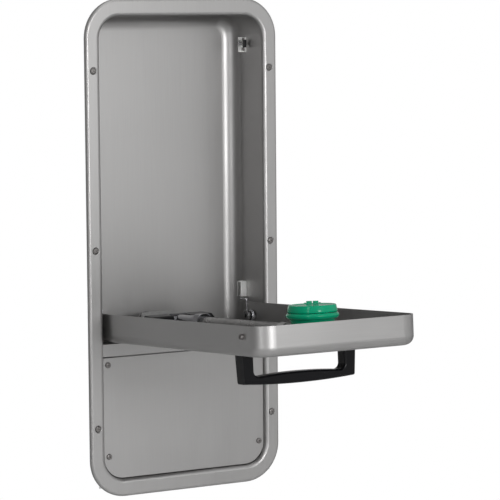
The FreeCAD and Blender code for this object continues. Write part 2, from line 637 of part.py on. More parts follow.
def valve_spindle():
    """Hollow spindle that turns with the arm; its ports meet the inlet when the pan is open."""
    shaft = rod(SPINDLE_R, (SPINDLE_LEFT, 0, 0), (1, 0, 0), SPINDLE_RIGHT - SPINDLE_LEFT)
    bore = rod(SPINDLE_BORE_R, (SPINDLE_LEFT + 4, 0, 0), (1, 0, 0), -SPINDLE_LEFT + 5)
    outlet = rod(SPINDLE_BORE_R, (0, 0, 0), (0, -1, 0), SPINDLE_R + 1)
    inlet = rod(4.0, (SUPPLY_X, 0, 0), (0, 1, 0), SPINDLE_R + 1)
    return in_pan(cut(shaft, bore, outlet, inlet))


def swivel_hub():
    half = BLOCK_INNER - 1.5
    barrel = rod(13.0, (-half, 0, 0), (1, 0, 0), 2 * half)
    barrel = rounded(barrel, 1.5, lambda b: b.XLength < 1e-3)
    boss = rod(11.0, (0, 0, 0), (0, -1, 0), NUT_START)
    collar = rod(13.0, (0, -NUT_START + 12, 0), (0, -1, 0), 8)
    bore = rod(SPINDLE_R, (-half - 1, 0, 0), (1, 0, 0), 2 * half + 2)
    water = rod(SPINDLE_BORE_R, (0, 0, 0), (0, -1, 0), NUT_START + 1)
    return in_pan(cut(fused(barrel, boss, collar), bore, water))


def union_nut():
    start = (0, -NUT_START, 0)
    nut = hexagon(30.0, start, (0, -1, 0), NUT_LENGTH)
    limit = rod(16.6, start, (0, -1, 0), NUT_LENGTH)
    limit = rounded(limit, 1.5, lambda b: b.YLength < 1e-3)
    return in_pan(cut(nut.common(limit), rod(PIPE_R, start, (0, -1, 0), NUT_LENGTH)))


# --- Pipe arm, elbow and saddle -----------------------------------------------------------
PIPE_END = HEAD_FROM_PIVOT - 15.0
ELBOW_R = 13.5
ELBOW_BAND = 1.5
ELBOW_FACE = HEAD_FROM_PIVOT - 24.0
HEAD_SEAT = 15.3
NIPPLE_R = 8.0
SADDLE_Y = -(HEAD_FROM_PIVOT - SADDLE_BEHIND_HEAD)
SADDLE_W = 16.0
SADDLE_HALF = 26.0
SADDLE_SCREW_X = 20.0
SADDLE_SCREW_R = 2.0
SADDLE_T = 1.5


def arm_pipe():
    start = (0, -NUT_START, 0)
    return in_pan(ring(PIPE_R, PIPE_BORE_R, start, (0, -1, 0), PIPE_END - NUT_START))


def arm_elbow():
    centre = (0, -HEAD_FROM_PIVOT, 0)
    socket = rod(ELBOW_R, (0, -ELBOW_FACE, 0), (0, -1, 0), HEAD_FROM_PIVOT - ELBOW_FACE)
    band = rod(ELBOW_R + ELBOW_BAND, (0, -ELBOW_FACE, 0), (0, -1, 0), 6)
    rise = rod(ELBOW_R, centre, (0, 0, 1), HEAD_SEAT)
    nipple = rod(NIPPLE_R, centre, (0, 0, 1), HEAD_SEAT + 6)
    body = fused(socket, band, ball(ELBOW_R, centre), rise, nipple)
    pocket = rod(PIPE_R, (0, -ELBOW_FACE, 0), (0, -1, 0), PIPE_END - ELBOW_FACE)
    way = rod(PIPE_BORE_R - 2, (0, -ELBOW_FACE, 0), (0, -1, 0), HEAD_FROM_PIVOT - ELBOW_FACE)
    out = rod(NIPPLE_R - 2, centre, (0, 0, 1), 30)
    return in_pan(cut(body, pocket, way, out))


def pipe_saddle():
    """A strap over the pipe with two feet on the pan floor."""
    y0 = SADDLE_Y - SADDLE_W / 2
    floor = -PAN_BOTTOM_DROP + SHEET
    start = (0, y0, 0)
    arch = rod(PIPE_R + SADDLE_T, start, (0, 1, 0), SADDLE_W)
    legs = box(-PIPE_R - SADDLE_T, PIPE_R + SADDLE_T, y0, y0 + SADDLE_W, floor, 0)
    feet = box(-SADDLE_HALF, SADDLE_HALF, y0, y0 + SADDLE_W, floor, floor + SADDLE_T)
    hollow = fused(rod(PIPE_R, start, (0, 1, 0), SADDLE_W), box(-PIPE_R, PIPE_R, y0, y0 + SADDLE_W, floor, 0))
    strap = fused(arch, legs, feet).cut(hollow)
    for side in (-1, 1):
        strap = strap.cut(rod(SADDLE_SCREW_R, (side * SADDLE_SCREW_X, SADDLE_Y, floor - 1), (0, 0, 1), 5))
    return in_pan(strap)


def saddle_screw(side):
    screw = button_screw(SMALL_HEAD_R, SMALL_HEAD_H, SADDLE_SCREW_R, SADDLE_T + SHEET + 1.5)
    place = (side * SADDLE_SCREW_X, SADDLE_Y, -PAN_BOTTOM_DROP + SHEET + SADDLE_T)
    return in_pan(aimed(screw, place, (0, 0, 1)))


# --- Spray head ---------------------------------------------------------------------------
BASE_TOP = 21.0
RING_TOP = 30.5
SHELL_T = 2.2
PLATE_DISC_T = 1.8
PLATE_DISC_R = HEAD_R - 5.0
LID_FLOOR = RING_TOP + 0.5
LID_TOP = 42.0
LID_EDGE_R = 38.0
LID_HINGE_Y = 39.5
LID_HINGE_Z = 40.0
LID_PIN_R = 1.2
LUG_R = 5.0
LUG_IN = 0.6
LUG_OUT = 9.2
EAR_R = 2.6
EAR_IN = 9.6
EAR_T = 3.0
SKIRT_LOW = 8.0
SKIRT_R = 30.0
BASE_R = 34.5
SPRAY_RINGS = ((7, 9.0), (13, 18.0), (19, 27.0))
SPRAY_HOLE_R = 1.1


def at_head(shape):
    """Take a shape drawn about the head's upright axis to the end of the arm, as it was screwed on."""
    placed = shape.copy()
    placed.rotate(V(0, 0, 0), V(0, 0, 1), -HEAD_TURN)
    placed.translate(V(0, -HEAD_FROM_PIVOT, 0))
    return in_pan(placed)


def turned(profile):
    """Revolve a closed (radius, height) outline about the Z axis."""
    points = [V(r, 0, z) for r, z in profile]
    return Part.Face(Part.makePolygon(points + [points[0]])).revolve(V(0, 0, 0), V(0, 0, 1), 360)


def skirt_r(height):
    """Outer radius of the base's tapered skirt at a height above the arm's axis."""
    return SKIRT_R + (BASE_R - SKIRT_R) * (height - SKIRT_LOW) / (BASE_TOP - SKIRT_LOW)


def head_base():
    """Skirted cup on the elbow's nipple: slots round its foot and a gap where the arm comes in."""
    floor_top = HEAD_SEAT + SHELL_T
    cup = turned([(NIPPLE_R, HEAD_SEAT), (skirt_r(HEAD_SEAT) - SHELL_T, HEAD_SEAT), (SKIRT_R - SHELL_T, SKIRT_LOW),
                  (SKIRT_R, SKIRT_LOW), (BASE_R, BASE_TOP), (BASE_R - SHELL_T, BASE_TOP),
                  (skirt_r(floor_top) - SHELL_T, floor_top), (NIPPLE_R, floor_top)])
    for i in range(10):
        notch = box(25, 40, -4.5, 4.5, SKIRT_LOW + 2, SKIRT_LOW + 5.5)
        notch.rotate(V(0, 0, 0), V(0, 0, 1), 36 * i + 20)
        cup = cup.cut(notch)
    half = ELBOW_R + ELBOW_BAND + LOOSE
    way_in = box(-half, half, 0, SKIRT_R + SHELL_T, SKIRT_LOW - 1, HEAD_SEAT)
    way_in.rotate(V(0, 0, 0), V(0, 0, 1), HEAD_TURN)
    return at_head(cup.cut(way_in))


def head_ring():
    """Wide upper ring that holds the spray plate, with the lid's two hinge ears."""
    r = HEAD_R
    inner = BASE_R - SHELL_T
    body = turned([(inner, BASE_TOP), (r - 3.5, BASE_TOP), (r - 0.8, BASE_TOP + 2.4), (r, BASE_TOP + 4.5),
                   (r - 0.8, RING_TOP - 1.5), (r - 3, RING_TOP), (PLATE_DISC_R, RING_TOP),
                   (PLATE_DISC_R, RING_TOP - PLATE_DISC_T), (inner, RING_TOP - PLATE_DISC_T)])
    for x0 in (EAR_IN, -EAR_IN - EAR_T):
        ear = rod(EAR_R, (x0, LID_HINGE_Y, LID_HINGE_Z), (1, 0, 0), EAR_T)
        web = box(x0, x0 + EAR_T, LID_HINGE_Y - EAR_R, LID_HINGE_Y + EAR_R, RING_TOP - 3, LID_HINGE_Z)
        foot = box(x0, x0 + EAR_T, LID_HINGE_Y - EAR_R - 1, LID_HINGE_Y + EAR_R, BASE_TOP + 4, RING_TOP - 3)
        body = fused(body, ear, web, foot)
    return at_head(body.cut(rod(LID_PIN_R, (-20, LID_HINGE_Y, LID_HINGE_Z), (1, 0, 0), 40)))


def spray_plate():
    disc = rod(PLATE_DISC_R, (0, 0, RING_TOP - PLATE_DISC_T), (0, 0, 1), PLATE_DISC_T)
    for count, radius in SPRAY_RINGS:
        for i in range(count):
            angle = 2 * math.pi * i / count
            place = (radius * math.cos(angle), radius * math.sin(angle), RING_TOP - PLATE_DISC_T - 1)
            disc = disc.cut(rod(SPRAY_HOLE_R, place, (0, 0, 1), 4))
    return at_head(disc)


def head_filter():
    low = HEAD_SEAT + SHELL_T + 3.6
    return at_head(ring(BASE_R - SHELL_T - 2, NIPPLE_R + 2, (0, 0, low), (0, 0, 1), 5))


def head_locknut():
    top = HEAD_SEAT + SHELL_T
    nut = hexagon(24.0, (0, 0, top), (0, 0, 1), 3.0)
    return at_head(nut.cut(rod(NIPPLE_R, (0, 0, top - 1), (0, 0, 1), 6)))


def lid_pin():
    half = EAR_IN + EAR_T + 1.0
    return at_head(rod(LID_PIN_R, (-half, LID_HINGE_Y, LID_HINGE_Z), (1, 0, 0), 2 * half))


def head_lid():
    """Flip-top dust cover: a shallow dished cup with two hinge lugs that stand above its top."""
    r = LID_R
    cup = turned([(0, LID_FLOOR), (r + 0.6, LID_FLOOR), (r + 0.6, LID_FLOOR + 3.5), (r - 1.2, LID_TOP),
                  (r - 3.0, LID_TOP), (r - 4.5, LID_TOP - 1.0), (0, LID_TOP - 1.0)])
    cup = cup.cut(rod(r - SHELL_T, (0, 0, LID_FLOOR - 1), (0, 0, 1), LID_TOP - LID_FLOOR - SHELL_T))
    for x0 in (LUG_IN, -LUG_OUT):
        lug = rod(LUG_R, (x0, LID_HINGE_Y, LID_HINGE_Z), (1, 0, 0), LUG_OUT - LUG_IN)
        lug = rounded(lug, 1.5, lambda b: b.XLength < 1e-3)
        cup = fused(cup, lug)
    return at_head(cup.cut(rod(LID_PIN_R + RUN, (-20, LID_HINGE_Y, LID_HINGE_Z), (1, 0, 0), 40)))


# --- Sill, access panel, rails ------------------------------------------------------------
RAIL_W = 18.0
RAIL_T = 1.2
RAIL_GAP = 0.3
RAIL_LOW = 50.0
RAIL_HIGH = 222.0
PANEL_HALF = OPEN_HALF - PANEL_GAP
PANEL_SCREW_X = OPEN_HALF - PANEL_SCREW_INSET
PANEL_SCREW_R = 2.4
PANEL_HEAD_R = 4.75
PANEL_SCREWS = [(side * PANEL_SCREW_X, h) for side in (-1, 1) for h in (PANEL_SCREW_LOW, PANEL_SCREW_HIGH)]
PAD_R = 4.0
PAD_X = 110.0


def sill():
    y0 = PANEL_Y
    web = box(-OPEN_HALF, OPEN_HALF, y0, y0 + SHEET, up(SILL_BOTTOM), up(SILL_TOP))
    shelf = box(-OPEN_HALF, OPEN_HALF, y0, y0 + SILL_SHELF, up(SILL_TOP) - SHEET, up(SILL_TOP))
    hem = box(-OPEN_HALF, OPEN_HALF, y0, y0 + 5, up(SILL_BOTTOM), up(SILL_BOTTOM) + SHEET)
    folded = fused(web, shelf, hem)
    return rounded(folded, SHEET * 0.8, lambda b: b.XLength > OPEN_HALF and b.YMax < y0 + 1e-4)


def rest_pad(x):
    """A rubber pad on the sill, its top face parallel to the open pan's floor."""
    level = -PAN_BOTTOM_DROP - REST_GAP
    pad = rod(PAD_R, (x, PANEL_Y + SILL_SHELF / 2 - PIVOT_Y, level - 6), (0, 0, 1), 6)
    below = box(-OPEN_HALF, OPEN_HALF, PANEL_Y - 20, PANEL_Y + 40, up(SILL_TOP) - 20, up(SILL_TOP))
    return in_pan(pad).cut(below)


def access_panel():
    low = up(END_FLANGE + PANEL_GAP)
    sheet = box(-PANEL_HALF, PANEL_HALF, PANEL_Y, PANEL_Y + SHEET, low, up(PANEL_TOP))
    sheet = rounded(sheet, OPENING_R - PANEL_GAP, lambda b: b.YLength > SHEET / 2 and abs(b.ZMax - low) < 1e-4
                    and b.ZLength < 1e-4 and b.XLength < 1e-4)
    holes = [rod(PANEL_SCREW_R + 0.2, (x, PANEL_Y - 1, up(h)), (0, 1, 0), 5) for x, h in PANEL_SCREWS]
    return cut(sheet, *holes)


def panel_rail():
    y0 = PANEL_Y + SHEET + RAIL_GAP
    face = box(OPEN_HALF - RAIL_W, OPEN_HALF, y0, y0 + RAIL_T, up(RAIL_LOW), up(RAIL_HIGH))
    leg_low = up(END_FLANGE + OPENING_R)
    leg = box(OPEN_HALF - RAIL_T, OPEN_HALF, y0, y0 + RAIL_W, leg_low, up(RAIL_HIGH))
    holes = [rod(PANEL_SCREW_R, (x, y0 - 1, up(h)), (0, 1, 0), 5) for x, h in PANEL_SCREWS if x > 0]
    inside = slab(2 * OPEN_HALF, OPEN_H, OPENING_R, y0 - 1, y0 + RAIL_W + 1)
    return cut(fused(face, leg).common(inside), *holes)


def panel_screw(x, height):
    screw = button_screw(PANEL_HEAD_R, 2.5, PANEL_SCREW_R, 12)
    return aimed(screw, (x, PANEL_Y, up(height)), (0, -1, 0))


# --- Drain trough and waste ---------------------------------------------------------------
TROUGH_HALF = 138.0
TROUGH_FRONT = PANEL_Y + 6.0
TROUGH_BACK = 48.0
TROUGH_END_FLOOR = 226.0
TROUGH_SUMP = 208.0
SUMP_HALF = 26.0
WASTE_HOLE_R = 17.0
TAILPIECE_LOW = 2.0
BEAD_LOW = 24.5
BEAD_T = 1.2
BEAD_R = 20.0
HANGER_LIP = OPEN_HALF - TROUGH_HALF


def trough_block(inset, top):
    half = TROUGH_HALF - inset
    points = [(-half, top), (half, top), (half, TROUGH_END_FLOOR + inset), (WASTE_X + SUMP_HALF, TROUGH_SUMP + inset),
              (WASTE_X - SUMP_HALF, TROUGH_SUMP + inset), (-half, TROUGH_END_FLOOR + inset), (-half, top)]
    face = Part.Face(Part.makePolygon([V(x, TROUGH_FRONT + inset, up(z)) for x, z in points]))
    return face.extrude(V(0, TROUGH_BACK - TROUGH_FRONT - 2 * inset, 0))


def drain_trough():
    """Folded sheet trough below the pan's rear edge, hung from the side walls by its end lips."""
    shell = trough_block(0, TROUGH_TOP).cut(trough_block(SHEET, TROUGH_TOP + 5))
    lips = []
    for side in (-1, 1):
        x0 = min(side * TROUGH_HALF, side * OPEN_HALF)
        lips.append(box(x0, x0 + HANGER_LIP, TROUGH_FRONT, TROUGH_BACK, up(TROUGH_TOP) - SHEET, up(TROUGH_TOP)))
    shell = fused(shell, *lips)
    return shell.cut(rod(WASTE_HOLE_R, (WASTE_X, WASTE_Y, up(TROUGH_SUMP) - 5), (0, 0, 1), 10))


def waste_strainer():
    level = up(TROUGH_SUMP) + SHEET
    disc = rod(19.0, (WASTE_X, WASTE_Y, level), (0, 0, 1), 1.5)
    disc = disc.cut(rod(2.0, (WASTE_X, WASTE_Y, level - 1), (0, 0, 1), 4))
    for i in range(8):
        angle = math.radians(45 * i)
        place = (WASTE_X + 9.5 * math.cos(angle), WASTE_Y + 9.5 * math.sin(angle), level - 1)
        disc = disc.cut(rod(2.6, place, (0, 0, 1), 4))
    return disc


def waste_tailpiece():
    top = up(TROUGH_SUMP)
    low = up(TAILPIECE_LOW)
    tube = rod(TAILPIECE_R, (WASTE_X, WASTE_Y, low), (0, 0, 1), top - low)
    bead = rod(BEAD_R, (WASTE_X, WASTE_Y, up(BEAD_LOW)), (0, 0, 1), BEAD_T)
    return fused(tube, bead).cut(rod(TAILPIECE_R - 1.3, (WASTE_X, WASTE_Y, low - 1), (0, 0, 1), top - low + 2))


def waste_nut():
    level = up(TROUGH_SUMP) - 22
    grip = hexagon(44.0, (WASTE_X, WASTE_Y, level), (0, 0, 1), 14)
    skirt = rod(21.5, (WASTE_X, WASTE_Y, level), (0, 0, 1), 20)
    return fused(grip, skirt).cut(rod(TAILPIECE_R, (WASTE_X, WASTE_Y, level - 1), (0, 0, 1), 24))


# --- Supply line --------------------------------------------------------------------------
FITTING_R = 13.5
FITTING_BORE_R = 8.0
TAIL_LOW = 46.0
VALVE_LOW = 96.0
VALVE_TOP = 148.0
REGULATOR_TOP = 178.0
INLET_THREAD_R = 9.3
INLET_THREAD_LENGTH = 16.0
PIPE_TOP = PIVOT_HEIGHT - 14.0
PIPE_BOTTOM = REGULATOR_TOP - 8.0
STOP_Z = (VALVE_LOW + VALVE_TOP) / 2
STOP_BALL_R = 10.5
STOP_BODY_R = 16.5
STOP_STEM_R = 3.0
STOP_FRONT = SUPPLY_Y - 26.0
STOP_LEVER_Y = SUPPLY_Y - 31.0
LEVER_LENGTH = 58.0
LEVER_T = 2.5
INLET_CLEAR_R = 17.0
TAILPIECE_CLEAR_R = TAILPIECE_R + 1.2


def supply_rod(radius, low, high):
    return rod(radius, (SUPPLY_X, SUPPLY_Y, up(low)), (0, 0, 1), high - low)


def supply_elbow():
    mouth = PIVOT_Y + INLET_END - 6
    along = SUPPLY_Y - mouth
    run = rod(FITTING_R, (SUPPLY_X, mouth, PIVOT_Z), (0, 1, 0), along)
    drop = supply_rod(FITTING_R, PIVOT_HEIGHT - 22, PIVOT_HEIGHT)
    body = fused(run, ball(FITTING_R, (SUPPLY_X, SUPPLY_Y, PIVOT_Z)), drop)
    pocket = rod(INLET_R, (SUPPLY_X, mouth, PIVOT_Z), (0, 1, 0), 6)
    way = rod(FITTING_BORE_R - 1, (SUPPLY_X, mouth, PIVOT_Z), (0, 1, 0), along)
    down = supply_rod(FITTING_BORE_R - 1, PIVOT_HEIGHT - 23, PIVOT_HEIGHT)
    return cut(body, pocket, way, down, supply_rod(PIPE_R, PIPE_BOTTOM, PIPE_TOP))


def supply_riser():
    return supply_rod(PIPE_R, PIPE_BOTTOM, PIPE_TOP).cut(supply_rod(PIPE_BORE_R, PIPE_BOTTOM - 1, PIPE_TOP + 1))


def flow_regulator():
    body = fused(supply_rod(FITTING_R, VALVE_TOP, REGULATOR_TOP),
                 hexagon(30.0, (SUPPLY_X, SUPPLY_Y, up(VALVE_TOP + 8)), (0, 0, 1), 14))
    return cut(body, supply_rod(FITTING_BORE_R - 3, VALVE_TOP - 1, REGULATOR_TOP), supply_rod(PIPE_R, PIPE_BOTTOM, 200))


def stop_valve_body():
    ends = [hexagon(28.0, (SUPPLY_X, SUPPLY_Y, up(VALVE_LOW)), (0, 0, 1), 12),
            hexagon(28.0, (SUPPLY_X, SUPPLY_Y, up(VALVE_TOP - 12)), (0, 0, 1), 12)]
    core = rod(FITTING_R, (SUPPLY_X, SUPPLY_Y, up(VALVE_LOW)), (0, 0, 1), VALVE_TOP - VALVE_LOW)
    bonnet = rod(7.0, (SUPPLY_X, STOP_FRONT, up(STOP_Z)), (0, 1, 0), SUPPLY_Y - STOP_FRONT)
    body = fused(core, ball(STOP_BODY_R, (SUPPLY_X, SUPPLY_Y, up(STOP_Z))), bonnet, *ends)
    way = supply_rod(FITTING_BORE_R - 1, VALVE_LOW - 1, VALVE_TOP + 1)
    seat = ball(STOP_BALL_R + LOOSE, (SUPPLY_X, SUPPLY_Y, up(STOP_Z)))
    stem = rod(STOP_STEM_R + RUN, (SUPPLY_X, STOP_FRONT - 1, up(STOP_Z)), (0, 1, 0), SUPPLY_Y - STOP_FRONT)
    return cut(body, way, seat, stem)


def stop_valve_ball():
    """Ball with its through-bore, and the stem that the lever turns."""
    centre = (SUPPLY_X, SUPPLY_Y, up(STOP_Z))
    bored = ball(STOP_BALL_R, centre).cut(supply_rod(FITTING_BORE_R - 1, STOP_Z - 20, STOP_Z + 20))
    tip = STOP_LEVER_Y - LEVER_T - 3
    stem = rod(STOP_STEM_R, (SUPPLY_X, tip, up(STOP_Z)), (0, 1, 0), SUPPLY_Y - STOP_BALL_R + 1 - tip)
    return fused(bored, stem)


def stop_valve_lever():
    x = SUPPLY_X
    y0 = STOP_LEVER_Y - LEVER_T
    z = up(STOP_Z)
    eye = rod(8.0, (x, y0, z), (0, 1, 0), LEVER_T)
    blade = box(x - 6, x + 6, y0, y0 + LEVER_T, z, z + LEVER_LENGTH - 6)
    tip = rod(6.0, (x, y0, z + LEVER_LENGTH - 6), (0, 1, 0), LEVER_T)
    grip = rounded(box(x - 7.5, x + 7.5, y0 - 2, y0 + LEVER_T + 2, z + 22, z + LEVER_LENGTH + 3), 1.8, lambda b: True)
    lever = fused(eye, blade, tip)
    sleeve = grip.cut(lever)
    bored = lever.cut(rod(STOP_STEM_R, (x, y0 - 1, z), (0, 1, 0), LEVER_T + 2))
    return bored, sleeve


def supply_tail():
    body = fused(supply_rod(FITTING_R, TAIL_LOW, VALVE_LOW), hexagon(30.0, (SUPPLY_X, SUPPLY_Y, up(TAIL_LOW)), (0, 0, 1), 18))
    way = supply_rod(FITTING_BORE_R - 1, TAIL_LOW - 1, VALVE_LOW + 1)
    return cut(body, way, supply_rod(INLET_THREAD_R, TAIL_LOW, TAIL_LOW + INLET_THREAD_LENGTH))


# --- Cabinet with its holes, then every piece to its file ---------------------------------
def cabinet():
    shell = dimpled(flange_and_tub())
    span = 2 * (OPEN_HALF + SHEET) + 4
    start = -span / 2
    shell = shell.cut(rod(BOLT_THREAD_R, (start, PIVOT_Y, PIVOT_Z), (1, 0, 0), span))
    for height in ANCHOR_SCREW_HEIGHTS:
        place = (start, ANCHOR_Y + ANCHOR_DEPTH / 2, PIVOT_Z + height)
        shell = shell.cut(rod(SMALL_SCREW_R, place, (1, 0, 0), span))
    for z in CATCH_SCREW_ZS:
        shell = shell.cut(rod(SMALL_SCREW_R, (start, CATCH_SCREW_Y, z), (1, 0, 0), span))
    for x, z in PLATE_SCREWS:
        shell = shell.cut(rod(BLOCK_SCREW_R, (x, BACK_Y - 5, PIVOT_Z + z), (0, 1, 0), 12))
    floor = up(END_FLANGE) - 30
    shell = shell.cut(rod(INLET_CLEAR_R, (SUPPLY_X, SUPPLY_Y, floor), (0, 0, 1), 45))
    return shell.cut(rod(TAILPIECE_CLEAR_R, (WASTE_X, WASTE_Y, floor), (0, 0, 1), 45))


def both_sides(name, right):
    save(name + "_right", right)
    save(name + "_left", mirrored(right))


save("cabinet", cabinet())
save("wall_screws", *[wall_screw(x, z) for x, z in WALL_SCREWS])
save("sill", sill())
save("rest_pads", rest_pad(-PAD_X), rest_pad(PAD_X))
save("access_panel", access_panel())
both_sides("panel_rail", panel_rail())
save("panel_screws", *[panel_screw(x, h) for x, h in PANEL_SCREWS])

save("hinge_bolts", hinge_bolt(), mirrored(hinge_bolt()))
save("hinge_spacers", hinge_spacer(), mirrored(hinge_spacer()))
save("hinge_nuts", hinge_nut(), mirrored(hinge_nut()))
save("pivot_bushes", pivot_bush(), mirrored(pivot_bush()))
both_sides("counterbalance_spring", spring())
both_sides("spring_anchor", spring_anchor())
both_sides("catch_bracket", catch_bracket())
both_sides("catch_magnet", catch_magnet())
both_sides("catch_stem", catch_stem())
both_sides("catch_spring", catch_spring())
wall_side = [anchor_screw(h) for h in ANCHOR_SCREW_HEIGHTS] + [catch_screw(z) for z in CATCH_SCREW_ZS]
save("bracket_screws", *wall_side, *[mirrored(s) for s in wall_side])
save("guide_studs", guide_stud(), mirrored(guide_stud()))

save("pan", pan())
save("pull_handle", pull_handle())
save("handle_screws", handle_screw(-1), handle_screw(1))

save("valve_bracket", valve_bracket())
plate_screw = button_screw(SMALL_HEAD_R, SMALL_HEAD_H, BLOCK_SCREW_R, 9)
block_screw = button_screw(SMALL_HEAD_R, SMALL_HEAD_H, BLOCK_SCREW_R, PLATE_T + BLOCK_SCREW_BITE - LOOSE)
block_back = BLOCK_HALF_DEPTH + PLATE_T
save("valve_screws",
     *[at_pivot(aimed(plate_screw, (x, VALVE_BACK - PLATE_T, z), (0, -1, 0))) for x, z in PLATE_SCREWS],
     *[at_pivot(aimed(block_screw, (x, block_back, BLOCK_SCREW_Z), (0, 1, 0))) for x in BLOCK_SCREW_XS])
save("valve_body", valve_body())
save("bearing_block", bearing_block())
save("rotor_seals", *[rotor_seal(x) for x in SEAL_XS])
save("valve_spindle", valve_spindle())
save("swivel_hub", swivel_hub())
save("union_nut", union_nut())
save("arm_pipe", arm_pipe())
save("arm_elbow", arm_elbow())
save("pipe_saddle", pipe_saddle())
save("saddle_screws", saddle_screw(-1), saddle_screw(1))

save("head_base", head_base())
save("head_ring", head_ring())
save("spray_plate", spray_plate())
save("head_filter", head_filter())
save("head_locknut", head_locknut())
save("lid_pin", lid_pin())
save("head_lid", head_lid())

save("drain_trough", drain_trough())
save("waste_strainer", waste_strainer())
save("waste_tailpiece", waste_tailpiece())
save("waste_nut", waste_nut())
save("supply_elbow", supply_elbow())
save("supply_riser", supply_riser())
save("flow_regulator", flow_regulator())
save("stop_valve_body", stop_valve_body())
save("stop_valve_ball", stop_valve_ball())
lever, sleeve = stop_valve_lever()
save("stop_valve_lever", lever)
save("lever_sleeve", sleeve)
save("supply_tail", supply_tail())
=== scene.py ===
import json
import math

import bmesh
import bpy
from mathutils import Matrix, Vector


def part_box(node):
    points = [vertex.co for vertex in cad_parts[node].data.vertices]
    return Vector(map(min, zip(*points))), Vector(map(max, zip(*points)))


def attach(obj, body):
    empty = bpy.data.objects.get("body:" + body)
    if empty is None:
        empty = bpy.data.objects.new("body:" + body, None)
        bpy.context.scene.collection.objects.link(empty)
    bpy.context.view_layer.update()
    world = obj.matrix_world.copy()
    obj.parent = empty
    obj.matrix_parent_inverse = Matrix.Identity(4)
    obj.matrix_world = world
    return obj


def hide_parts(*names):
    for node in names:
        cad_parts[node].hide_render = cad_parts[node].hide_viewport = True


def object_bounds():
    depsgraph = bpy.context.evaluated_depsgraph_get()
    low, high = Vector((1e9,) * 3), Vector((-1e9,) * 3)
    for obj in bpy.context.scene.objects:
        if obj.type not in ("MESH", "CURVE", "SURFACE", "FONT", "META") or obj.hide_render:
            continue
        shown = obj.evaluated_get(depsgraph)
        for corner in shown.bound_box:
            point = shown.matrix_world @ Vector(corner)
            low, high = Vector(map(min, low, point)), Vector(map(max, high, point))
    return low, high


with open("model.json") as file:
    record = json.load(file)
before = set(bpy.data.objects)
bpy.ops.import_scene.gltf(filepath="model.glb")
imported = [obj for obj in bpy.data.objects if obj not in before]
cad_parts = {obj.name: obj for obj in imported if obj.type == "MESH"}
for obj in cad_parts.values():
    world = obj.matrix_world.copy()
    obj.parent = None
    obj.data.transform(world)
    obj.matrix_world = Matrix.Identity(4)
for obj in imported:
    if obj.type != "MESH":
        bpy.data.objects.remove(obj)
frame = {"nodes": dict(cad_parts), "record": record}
cad_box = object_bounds()

# --- Cabinet, pan, sill and panels --------------------------------------------------------
# Drawn and folded stainless sheet, brushed to a fine satin grain that runs up the cabinet
# and across the pan. Handling leaves soft cloudy patches in the polish.
STEEL_TINT = (0.395, 0.39, 0.387)
STEEL_ROUGH = 0.40
GRAIN_ALONG = 14.0
GRAIN_ACROSS = 2600.0
GRAIN_DEPTH = 0.00004
GRAIN_STRENGTH = 0.12
WEAR_PATCHES = 7.0


class Finish:
    """One material and the wiring of its nodes."""

    def __init__(self, name):
        self.material = bpy.data.materials.new(name)
        self.material.use_nodes = True
        self.tree = self.material.node_tree
        self.shader = self.tree.nodes["Principled BSDF"]
        self.coords = self.add("ShaderNodeTexCoord").outputs["Object"]

    def add(self, kind, **settings):
        node = self.tree.nodes.new(kind)
        for key, value in settings.items():
            setattr(node, key, value)
        return node

    def link(self, source, target):
        self.tree.links.new(source, target)

    def stretched(self, scale):
        mapping = self.add("ShaderNodeMapping")
        mapping.inputs["Scale"].default_value = scale
        self.link(self.coords, mapping.inputs["Vector"])
        return mapping.outputs["Vector"]

    def noise(self, scale=1.0, detail=4.0, rough=0.5, stretch=(1.0, 1.0, 1.0)):
        node = self.add("ShaderNodeTexNoise")
        node.inputs["Scale"].default_value = scale
        node.inputs["Detail"].default_value = detail
        node.inputs["Roughness"].default_value = rough
        self.link(self.stretched(stretch), node.inputs["Vector"])
        return node.outputs["Fac"]

    def span(self, value, low, high, from_low=0.3, from_high=0.7):
        node = self.add("ShaderNodeMapRange")
        node.inputs["From Min"].default_value = from_low
        node.inputs["From Max"].default_value = from_high
        node.inputs["To Min"].default_value = low
        node.inputs["To Max"].default_value = high
        self.link(value, node.inputs["Value"])
        return node.outputs["Result"]

    def blend(self, factor, dark, light):
        node = self.add("ShaderNodeMix", data_type="RGBA")
        node.inputs["A"].default_value = (*dark, 1.0)
        node.inputs["B"].default_value = (*light, 1.0)
        self.link(factor, node.inputs["Factor"])
        return node.outputs["Result"]

    def times(self, a, b):
        node = self.add("ShaderNodeMath", operation="MULTIPLY")
        self.link(a, node.inputs[0])
        self.link(b, node.inputs[1])
        return node.outputs["Value"]

    def bump(self, height, strength, distance):
        node = self.add("ShaderNodeBump")
        node.inputs["Strength"].default_value = strength
        node.inputs["Distance"].default_value = distance
        self.link(height, node.inputs["Height"])
        self.link(node.outputs["Normal"], self.shader.inputs["Normal"])


def darker(colour, share):
    return tuple(channel * share for channel in colour)


def satin_steel(name, tint, rough, grain):
    """Brushed sheet: long grain in colour, roughness and height, with cloudy wear."""
    m = Finish(name)
    fine = m.noise(1.0, 2.0, 0.6, grain)
    cloud = m.noise(WEAR_PATCHES, 3.0, 0.55)
    colour = m.blend(m.span(fine, 0.0, 1.0), darker(tint, 0.93), tint)
    m.link(colour, m.shader.inputs["Base Color"])
    polish = m.span(m.times(fine, cloud), rough - 0.05, rough + 0.07, 0.12, 0.4)
    m.link(polish, m.shader.inputs["Roughness"])
    m.shader.inputs["Metallic"].default_value = 1.0
    m.bump(fine, GRAIN_STRENGTH, GRAIN_DEPTH)
    return m.material


def wear(nodes, material):
    """Give the named CAD nodes one material."""
    for node in nodes:
        data = frame["nodes"][node].data
        data.materials.clear()
        data.materials.append(material)


